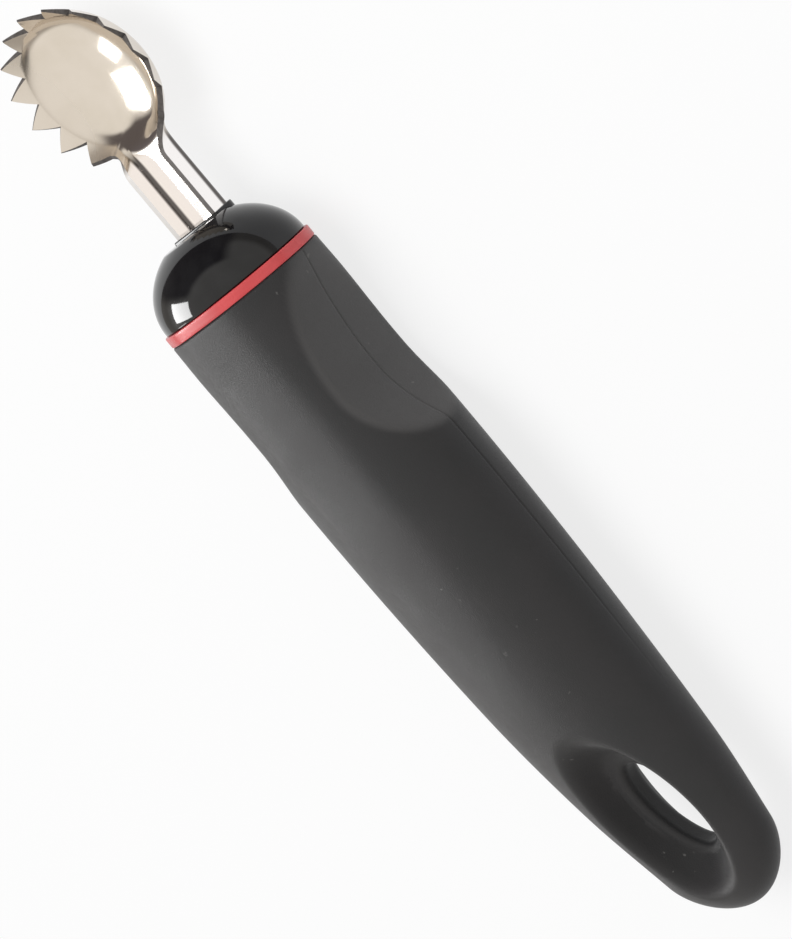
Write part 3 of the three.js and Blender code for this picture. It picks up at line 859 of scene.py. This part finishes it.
@dataclass(frozen=True)
class GripForm:
    """Law of the handle's outside: ovals along it, hollowed at the edges, planed on the broad faces, dished
    at the tail and cut through by the hang hole.

    A station is its distance to the tail's end, or for the belly behind the ring, then what the width gains
    there and what the height loses.
    """

    length: float = 115.4
    seat_width: float = 30.0
    seat_height: float = 22.1
    flat_half: float = 10.7
    flat_edge: float = 0.9
    belly: Station = (36.5, 2.1, 0.2)
    waist: Station = (47.0, 0.9, 2.3)
    heel: Station = (24.0, -2.2, 6.1)
    tail: Station = (9.1, -7.0, 10.1)
    end: Station = (0.0, -11.0, 11.9)
    sag: float = 1.0
    sag_length: float = 45.0
    hollow_back: float = 20.3
    hollow_depth: float = 3.5
    hollow_front: float = 50.0
    hollow_rear: float = 16.0
    hollow_crown: float = 26.0
    hollow_edge: float = 0.9
    hole_to_tail: float = 19.0
    hole_half_length: float = 8.25
    hole_half_width: float = 3.7
    hole_round: float = 1.3
    web: float = 4.4
    web_drop: float = 1.05
    web_slope: float = math.tan(math.radians(10.5))
    dish_to_tail: float = 19.9
    dish_rise: float = 8.6
    dish_front: float = 15.0
    dish_rear: float = 14.7
    dish_side: float = 7.9
    dish_land: float = 0.5
    dish_edge: float = 2.0
    parting_depth: float = 0.12
    parting_half: float = 0.16
    parting_start: float = 0.45
    parting_fade: float = 0.3

    @property
    def hole_back(self) -> float:
        """Middle of the hang hole behind the ring."""
        return self.length - self.hole_to_tail

    def half_sizes(self, back: np.ndarray) -> tuple[np.ndarray, np.ndarray]:
        """Half width and half height by smooth cubics through the stations, rounded off at the tail.

        Args:
            back: Distances behind the ring.

        Returns:
            Half widths and half heights.
        """
        rear = (self.waist, self.heel, self.tail, self.end)
        rows = [(0.0, 0.0, 0.0), self.belly, *((self.length - to_tail, w, h) for to_tail, w, h in rear)]
        at, gain, fall = np.array(rows).T
        tail_start = self.length - self.tail[0]
        closing = np.sqrt(np.maximum(1 - (np.maximum(back - tail_start, 0) / self.tail[0]) ** 2, 0))
        width = self.smooth_through(at, (self.seat_width + gain) / 2, back) * closing
        height = self.smooth_through(at, (self.seat_height - fall) / 2, back) * closing
        return width, height

    @staticmethod
    def smooth_through(at: np.ndarray, value: np.ndarray, back: np.ndarray) -> np.ndarray:
        """Cubic through stations whose slope is that between each one's neighbours.

        Args:
            at: Places of the stations.
            value: Values at the stations.
            back: Places to find.

        Returns:
            Values at those places.
        """
        before = np.maximum(np.arange(len(at)) - 1, 0)
        after = np.minimum(np.arange(len(at)) + 1, len(at) - 1)
        slope = (value[after] - value[before]) / (at[after] - at[before])
        i = np.clip(np.searchsorted(at, back) - 1, 0, len(at) - 2)
        span = at[i + 1] - at[i]
        t = (back - at[i]) / span
        pull = t * (1 - t) ** 2 * span * slope[i] + t * t * (t - 1) * span * slope[i + 1]
        return mix(value[i], value[i + 1], t * t * (3 - 2 * t)) + pull

    def planed(self, z: np.ndarray, inset: np.ndarray) -> np.ndarray:
        """Heights of an oval held softly under the flats of the broad faces."""
        return np.sign(z) * soft_min(np.abs(z), self.flat_half - inset, self.flat_edge)

    def hollow_limit(self, back: np.ndarray, z: np.ndarray) -> np.ndarray:
        """Half width left by the edge hollows: a parabola along the handle, crowned across it."""
        offset = back - self.hollow_back
        radius = np.where(offset < 0, self.hollow_front, self.hollow_rear)
        floor = self.seat_width / 2 - self.hollow_depth
        return floor + offset**2 / (2 * radius) - z**2 / (2 * self.hollow_crown)

    def dish(self, back: np.ndarray, y: np.ndarray) -> np.ndarray:
        """Rise of the tail dish off the middle of its web: flat land, then a paraboloid."""
        offset = back - (self.length - self.dish_to_tail)
        reach = np.where(offset < 0, self.dish_front, self.dish_rear)
        area = (offset / reach) ** 2 + (y / self.dish_side) ** 2
        return self.web / 2 + self.dish_rise * np.maximum(area - self.dish_land, 0)

    def hole_reach(self, back: np.ndarray) -> np.ndarray:
        """Half width of the hang hole's oval at each place, 0 before and behind it."""
        offset = (back - self.hole_back) / self.hole_half_length
        return self.hole_half_width * np.sqrt(np.maximum(1 - offset**2, 0))

    def hole_fillet(self, back: np.ndarray, y: np.ndarray) -> np.ndarray:
        """Fall of the faces round the hang hole: a quarter round over the distance from the hole's oval.

        Args:
            back: Distances behind the ring.
            y: Places across the handle.

        Returns:
            Depth below the face, from 0 to the round's radius.
        """
        u, v = back - self.hole_back, y
        level = np.sqrt((u / self.hole_half_length) ** 2 + (v / self.hole_half_width) ** 2)
        steep = np.hypot(u / self.hole_half_length**2, v / self.hole_half_width**2) / np.maximum(level, TINY)
        away = np.clip((level - 1) / np.maximum(steep, TINY), 0, self.hole_round)
        return self.hole_round - np.sqrt(self.hole_round**2 - (self.hole_round - away) ** 2)

    def surface(self, back: np.ndarray, turn: np.ndarray, inset: np.ndarray) -> np.ndarray:
        """Points of the outside, set in by a wall.

        An oval, planed on its broad faces, hollowed at its edges and grooved along the parting line, bent
        down towards the tail, and cut back to the dish and the hole's round on both faces.

        Args:
            back: Distances behind the ring.
            turn: Turn round the oval, 0 at the +Y edge and a quarter turn on top.
            inset: Depth under the outside.

        Returns:
            Points in the broadcast shape.
        """
        width, height = self.half_sizes(back)
        width = np.maximum(width - inset, 0.0)
        height = np.maximum(height - inset, 0.0)
        oval_z = self.planed(height * np.sin(turn), inset)
        oval_y = width * np.cos(turn)
        y = soft_min(oval_y, self.hollow_limit(back, oval_z) - inset, self.hollow_edge)
        fading = 1 - ease((back - self.parting_start * self.length) / (self.parting_fade * self.length))
        groove = self.parting_depth * np.exp(-((oval_z / self.parting_half) ** 2)) * fading
        y = np.maximum(y - np.where(inset > 0, 0.0, groove), 0.0)
        drop = self.sag * ease((back - (self.length - self.sag_length)) / self.sag_length)
        middle = -self.web_drop - self.web_slope * (back - self.hole_back)
        rise = self.dish(back, y) - inset
        top = soft_min(oval_z - drop, middle + rise, self.dish_edge)
        z = -soft_min(-top, rise - middle, self.dish_edge)
        fillet = self.hole_fillet(back, y)
        return stack(-back, y, z - np.sign(np.sin(turn)) * np.where(inset > 0, 0.0, fillet))


@dataclass
class GripSleeve:
    """Soft sleeve of the handle with its closed tail and rounded hang hole."""

    form: GripForm
    finish: SoftRubber = field(default_factory=SoftRubber)
    front: float = 0.92
    front_round: float = 0.35
    wall: float = 1.5
    cavity_end: float = 78.7
    groove_columns: tuple[float, ...] = (0.0, 0.004, 0.008, 0.012, 0.017, 0.024, 0.034)
    crowding: float = 1.6
    hole_lead: tuple[float, ...] = (0.9, 0.65, 0.45, 0.3, 0.18, 0.09, 0.03)
    tail_gap: float = 1.1
    columns: int = 44
    body_rows: int = 150
    hole_rows: int = 56
    tail_rows: int = 40
    wall_rows: int = 10
    cavity_rows: int = 24

    def quarter(self) -> np.ndarray:
        """Shares of a quarter turn, close together at the parting line and at the hole's edge."""
        t = np.linspace(0, 1, self.columns + 1)[1:]
        first = self.groove_columns[-1]
        return np.concatenate([self.groove_columns, first + (1 - first) * (1 - (1 - t) ** self.crowding)])

    def turns(self, back: np.ndarray) -> np.ndarray:
        """Turns of half a section, from the hole's lower edge round the +Y edge to its upper edge.

        Args:
            back: Distances behind the ring, as a column.

        Returns:
            Rows x columns of turns that end where the oval meets the hole, or at a quarter turn.
        """
        share = self.quarter()
        width, _ = self.form.half_sizes(back)
        inner = np.arccos(np.clip(self.form.hole_reach(back) / np.maximum(width, TINY), 0, 1))
        return inner * np.concatenate([-share[:0:-1], share])[None]

    def backs(self) -> tuple[np.ndarray, np.ndarray]:
        """Places of the rows behind the ring, and their inset at the rounded front edge.

        Returns:
            Places and insets, close together at the front edge, round the hole and at the tail.
        """
        form = self.form
        turn = np.linspace(0, np.pi / 2, ROUND_STEPS + 1)
        edge_back = self.front + self.front_round * (1 - np.sin(turn))
        edge_inset = self.front_round * (1 - np.cos(turn))
        hole_start = form.hole_back - form.hole_half_length
        hole_end = form.hole_back + form.hole_half_length
        body = mix(self.front + self.front_round, hole_start, np.linspace(0, 1, self.body_rows + 1)[1:-1])
        near = np.array(self.hole_lead)
        lead = hole_start - near[body[-1] < hole_start - near]
        hole = form.hole_back - form.hole_half_length * np.cos(np.linspace(0, np.pi, self.hole_rows + 1))
        closing = np.sin(np.linspace(0, np.pi / 2, self.tail_rows + 1))
        tail = mix(hole_end + self.tail_gap, form.length, closing)
        back = np.concatenate([edge_back[::-1], body, lead, hole, hole_end + near[::-1], tail])
        return back, np.concatenate([edge_inset[::-1], np.zeros(len(back) - len(edge_inset))])

    def half(self) -> list[np.ndarray]:
        """Grids of the +Y half: outside, hole wall, cavity, its closed end and the front face between them.

        Returns:
            Five grids that share their edges.
        """
        back, inset = (values[:, None] for values in self.backs())
        outside = self.form.surface(back, self.turns(back), inset)
        in_hole = np.abs(back[:, 0] - self.form.hole_back) <= self.form.hole_half_length + TINY
        share = np.linspace(0, 1, self.wall_rows + 1)[None, :, None]
        hole = mix(outside[in_hole][:, -1:], outside[in_hole][:, :1], share)
        deep = np.linspace(self.front, self.cavity_end, self.cavity_rows + 1)[:, None]
        cavity = self.form.surface(deep, self.turns(back[:1]), np.full_like(deep, self.wall))
        last = np.broadcast_to([-self.cavity_end, 0.0, 0.0], cavity[-1].shape)
        return [outside, hole, cavity, np.stack([cavity[-1], last]), np.stack([outside[0], cavity[0]])]

    def build(self) -> bpy.types.Object:
        """Both halves of the sleeve, welded along the middle."""
        skin = Skin()
        for grid in self.half():
            skin.add_both(grid)
        piece = skin.piece("soft_grip")
        self.mark_hollows(piece.data)
        fit_out(piece, "grip_sleeve", "grip_rubber", self.finish.material())
        return piece

    def mark_hollows(self, mesh: bpy.types.Mesh) -> None:
        """Keep on each point how far it lies in an edge hollow: 1 on its floor and 0 well outside it."""
        x, y, z = places_of(mesh)
        # The mark sets where the rubber's colour carries painted light in the edge hollows.
        gap = self.form.hollow_limit(-x, z) - np.abs(y)
        mark = mesh.attributes.new(HOLLOW, "FLOAT", "POINT")
        mark.data.foreach_set("value", ease(1 - gap / self.form.hollow_edge).astype(np.float32))


@dataclass
class AccentRing:
    """Red band between the nose and the grip."""

    form: GripForm
    finish: RedPlastic = field(default_factory=RedPlastic)
    half: float = 0.85
    wall: float = 2.7
    edge_round: float = 0.18
    crown_points: int = 3
    columns: int = 180

    def section(self) -> tuple[np.ndarray, np.ndarray]:
        """Closed section of the band: a box with quarter rounds on its two outer edges.

        Returns:
            Places along X and insets from the seat's outline.
        """
        turn = np.linspace(0, np.pi / 2, ROUND_STEPS)
        flank = self.half - self.edge_round
        rear = -flank - self.edge_round * np.cos(turn)
        inset = self.edge_round * (1 - np.sin(turn))
        crown = np.linspace(-flank, flank, self.crown_points + 2)[1:-1]
        x = np.concatenate([[-self.half], rear, crown, -rear[::-1], [self.half, -self.half]])
        flush = np.zeros(self.crown_points)
        deep = np.concatenate([[self.wall], inset, flush, inset[::-1], [self.wall, self.wall]])
        return x, deep

    def build(self) -> bpy.types.Object:
        """The section carried round the seat's planed oval."""
        x, deep = (values[:, None] for values in self.section())
        turn = np.linspace(0, 2 * np.pi, self.columns + 1)[None]
        y = (self.form.seat_width / 2 - deep) * np.cos(turn)
        z = self.form.planed((self.form.seat_height / 2 - deep) * np.sin(turn), deep)
        skin = Skin()
        skin.add(stack(x, y, z))
        piece = skin.piece("red_ring")
        fit_out(piece, "accent_ring", "ring_red", self.finish.material())
        return piece


@dataclass
class NoseCap:
    """Gloss dome with a raised lip round the shank and a slit for its sheet."""

    form: GripForm
    channel: ChannelForm
    finish: GlossPlastic = field(default_factory=GlossPlastic)
    base: float = 0.95
    foot: float = 1.15
    curve: float = 10.0
    height: float = 10.1
    step: float = 0.45
    base_round: float = 0.2
    lip: float = 0.42
    lip_margin: float = 0.7
    lip_corner: float = 0.7
    lip_round: float = 0.22
    lip_root: float = 4.0
    slit_gap: float = 0.05
    rows: int = 60
    columns: int = 160

    def dome(self) -> np.ndarray:
        """Half oval over the seat, with a rounded base edge and a flat top.

        Each row is an oval of the seat's half sizes times the cosine of its rise; the first and last rows
        fall into the axis.

        Returns:
            Rows x columns x 3.
        """
        rise = np.linspace(0, math.asin((self.height - self.foot) / self.curve), self.rows)
        turn = np.linspace(0, np.pi / 2, ROUND_STEPS)[:-1]
        x = np.concatenate([
            [self.base],
            self.foot - (self.foot - self.base) * np.cos(turn),
            self.foot + self.curve * np.sin(rise),
            [self.height],
        ])[:, None]
        share = np.concatenate([[0.0], np.ones(len(turn)), np.cos(rise), [0.0]])[:, None]
        base_inset = self.base_round * (1 - np.sin(turn))
        inset = np.concatenate([[0.0], base_inset, np.zeros(len(rise) + 1)])[:, None]
        around = np.linspace(0, 2 * np.pi, self.columns + 1)[None]
        y = share * (self.form.seat_width / 2 - self.step - inset) * np.cos(around)
        z = share * (self.form.seat_height / 2 - self.step - inset) * np.sin(around)
        return stack(x, y, z)

    def lip_bar(self) -> np.ndarray:
        """The channel's outline drawn out along the shank, with a rounded top edge.

        Returns:
            Rows x columns x 3, closed at both ends.
        """
        turn = np.linspace(0, np.pi / 2, ROUND_STEPS)
        top = self.height + self.lip
        rounding = top - self.lip_round * (1 - np.sin(turn))
        x = np.concatenate([[self.height - self.lip_root] * 2, rounding, [top]])
        inset = np.concatenate([[0.0, 0.0], self.lip_round * (1 - np.cos(turn)), [0.0]])
        loops = np.stack([self.channel.outline(self.lip_margin - d, self.lip_corner - d) for d in inset])
        middle = np.array([0.0, self.channel.bend])
        loops[0] = middle
        loops[-1] = middle
        return stack(x[:, None], loops[..., 0], loops[..., 1])

    def slit_bar(self) -> np.ndarray:
        """A box section carried along the channel's sheet, as wide as the sheet and its gap.

        Returns:
            Rows x columns x 3, closed at both ends.
        """
        path, out = self.channel.sheet_path()
        reach = self.channel.sheet / 2 + self.slit_gap
        lift = np.array([[0.0, self.slit_gap]])
        path = np.concatenate([path[:1] + lift, path[1:-1], path[-1:] + lift])
        side = np.array([-1, 1, 1, -1, -1])[None, :, None] * reach
        flat = path[:, None] + out[:, None] * side
        end = self.height + 2 * self.lip
        deep = mix(self.foot, end, np.array([0.0, 0.0, 1.0, 1.0, 0.0]))[None]
        grid = stack(deep, flat[..., 0], flat[..., 1])
        ends = [np.broadcast_to(row.mean(axis=0), row.shape)[None] for row in (grid[0], grid[-1])]
        return np.concatenate([ends[0], grid, ends[1]])

    def build(self) -> bpy.types.Object:
        """Dome and lip joined, and the slit cut out."""
        shapes = {}
        for name, grid in (("gloss_nose", self.dome()), ("lip", self.lip_bar()), ("slit", self.slit_bar())):
            skin = Skin()
            skin.add(grid)
            shapes[name] = skin.piece(name)
        piece = shapes["gloss_nose"]
        carve(piece, shapes["lip"], Carve.JOIN)
        carve(piece, shapes["slit"], Carve.CUT)
        shade(piece.data)
        fit_out(piece, "nose_cap", "nose_gloss", self.finish.material())
        return piece


@dataclass
class HandleCore:
    """Hard core inside the handle, whose CAD solid stays as it is."""

    finish: HardPlastic = field(default_factory=HardPlastic)

    def dress(self) -> None:
        """Give the CAD node its moulded finish."""
        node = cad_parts["handle_core"]
        node.data.materials.clear()
        node.data.materials.append(self.finish.material())
        log.info("handle_core: CAD node dressed")


class Shows(Enum):
    """Surfaces on which a lamp shows."""

    MATT = "matt"
    GLOSS = "gloss"


@dataclass(frozen=True)
class Softbox:
    """Rectangular lamp that looks at the tool.

    Its direction from the tool, then its distance and size in metres, its power in watts and where it shows.
    """

    name: str
    toward: tuple[float, float, float]
    away: float
    size: Span
    power: float
    shows: Shows

    def place(self) -> None:
        """Hang the lamp in the scene."""
        lamp = bpy.data.lights.new(self.name, "AREA")
        lamp.shape = "RECTANGLE"
        lamp.size, lamp.size_y = self.size
        lamp.energy = self.power
        made = bpy.data.objects.new(self.name, lamp)
        direction = Vector(self.toward).normalized()
        made.location = direction * self.away
        made.rotation_mode = "QUATERNION"
        made.rotation_quaternion = direction.to_track_quat("Z", "Y")
        made.visible_diffuse = self.shows is Shows.MATT
        made.visible_glossy = self.shows is Shows.GLOSS
        bpy.context.scene.collection.objects.link(made)


@dataclass
class Studio:
    """Pale floor, soft light and the camera.

    Two panes of a window show in gloss alone, and a broad lamp above lights matt surfaces alone. The floor is
    white at a strength of 1, for the camera and in gloss alike, and the tent in gloss is no brighter.
    """

    lamps: tuple[Softbox, ...] = (
        Softbox("window", (0.20, 0.83, 0.52), 1.0, (0.32, 0.42), 6.0, Shows.GLOSS),
        Softbox("side_pane", (-0.12, 0.91, 0.39), 1.0, (0.15, 0.26), 0.6, Shows.GLOSS),
        Softbox("overhead", (0.45, 0.1, 1.0), 1.2, (1.0, 1.0), 11.0, Shows.MATT),
    )

    floor_half: float = 0.45
    floor_white: Colour = (0.9, 0.9, 0.9)
    floor_glow: float = 0.80
    floor_strength: float = 1.0
    white: Colour = (1.0, 1.0, 1.0)
    world_fill: Colour = (0.42, 0.42, 0.42)
    tent: Colour = (1.0, 0.97, 0.92)
    tent_dark: Colour = (0.14, 0.123, 0.123)
    tent_low: Colour = (0.46, 0.43, 0.39)
    low_band: Span = (0.12, 0.34)
    dark_from: Span = (0.28, 0.46)
    dark_beyond: Span = (-0.35, -0.05)
    dark_below: Span = (0.62, 0.74)
    view_roll: float = math.radians(47)
    view_tilt: float = math.radians(3.95)
    image_turn: float = math.radians(50)
    distance: float = 1500.0
    image_height: float = 134.14
    aim: Span = (-34.4, -0.3)
    sensor: float = 36.0

    def floor(self) -> bpy.types.Object:
        """Pale sheet under the tool that glows softly to the camera and in gloss, and still takes shadow."""
        share = np.linspace(-self.floor_half, self.floor_half, 3)
        points = stack(share[:, None], share[None], np.zeros((1, 1))).reshape(-1, 3)
        quads = [(i, i + 3, i + 4, i + 1) for i in (0, 1, 3, 4)]
        mesh = bpy.data.meshes.new("floor")
        mesh.from_pydata(points.tolist(), [], quads)
        paint = Recipe("pale_floor")
        paint.set(Base_Color=self.floor_white, Roughness=1.0, Specular_IOR_Level=0.0)
        glow = paint.add("Emission")
        paint.feed(glow.inputs["Strength"], self.floor_strength)
        both = paint.add("MixShader")
        shaders = (paint.surface.outputs["BSDF"], glow.outputs["Emission"])
        for socket, value in zip(both.inputs, (paint.times(paint.seen(), self.floor_glow), *shaders)):
            paint.feed(socket, value)
        paint.feed(paint.tree.nodes["Material Output"].inputs["Surface"], both.outputs["Shader"])
        mesh.materials.append(paint.material)
        made = bpy.data.objects.new("floor", mesh)
        bpy.context.scene.collection.objects.link(made)
        return made

    def world(self) -> None:
        """White surroundings for what is seen directly, an even soft fill, and in gloss a warm tent.

        The tent is dimmer near the floor, and has a dark side beyond the tool and towards the scoop's tip.
        """
        world = bpy.data.worlds.new("studio")
        bpy.context.scene.world = world
        world.use_nodes = True
        nodes = Graph(world.node_tree)
        x, y, z = nodes.split(nodes.add("TexCoord").outputs["Generated"])
        dark = nodes.times(nodes.range(x, *self.dark_from), nodes.range(y, *self.dark_beyond))
        dark = nodes.times(dark, nodes.range(z, *self.dark_below, 1.0, 0.0))
        tent = nodes.blend(nodes.range(z, *self.low_band), self.tent_low, self.tent)
        tent = nodes.blend(dark, tent, self.tent_dark)
        gloss = nodes.blend(nodes.ray("Is Glossy Ray"), self.world_fill, tent)
        direct = nodes.blend(nodes.ray("Is Camera Ray"), gloss, self.white)
        nodes.feed(nodes.tree.nodes["Background"].inputs["Color"], direct)

    def light(self) -> None:
        """Place the lamps."""
        for lamp in self.lamps:
            lamp.place()

    def camera(self) -> bpy.types.Object:
        """Long lens on the photograph's side, rolled so that the tool runs down the picture to the right.

        Returns:
            The scene's camera.
        """
        roll, tilt, turn = self.view_roll, self.view_tilt, self.image_turn
        back = Vector((math.sin(tilt), -math.sin(roll) * math.cos(tilt), math.cos(roll) * math.cos(tilt)))
        along = Vector((math.cos(tilt), math.sin(roll) * math.sin(tilt), -math.cos(roll) * math.sin(tilt)))
        across = Vector((0.0, math.cos(roll), math.sin(roll)))
        right = -math.cos(turn) * along - math.sin(turn) * across
        up = math.sin(turn) * along - math.cos(turn) * across
        x, n = self.aim
        target = Vector(ring_origin()) + Vector((x * MM, 0.0, 0.0)) + across * (n * MM)
        data = bpy.data.cameras.new("view")
        data.sensor_width = self.sensor
        data.lens = self.sensor * self.distance / self.image_height
        data.clip_start, data.clip_end = 0.01, 20.0
        made = bpy.data.objects.new("view", data)
        turned = Matrix((right, up, back)).transposed().to_4x4()
        made.matrix_world = Matrix.Translation(target + back * (self.distance * MM)) @ turned
        bpy.context.scene.collection.objects.link(made)
        bpy.context.scene.camera = made
        return made

    def build(self) -> None:
        """Set up floor, surroundings, lamps and camera."""
        bpy.context.scene.view_settings.view_transform = "Standard"
        self.floor()
        self.world()
        self.light()
        self.camera()
        log.info("studio: floor, lamps and camera in place")


def main() -> None:
    """Build and dress the tool, and light it."""
    logging.basicConfig(level=logging.INFO, format="%(name)s %(message)s")
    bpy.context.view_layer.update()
    channel = ChannelForm()
    grip = GripForm()
    Studio().build()
    ScoopBlade(channel).build()
    NoseCap(grip, channel).build()
    AccentRing(grip).build()
    HandleCore().dress()
    GripSleeve(grip).build()


if __name__ == "__main__":
    main()
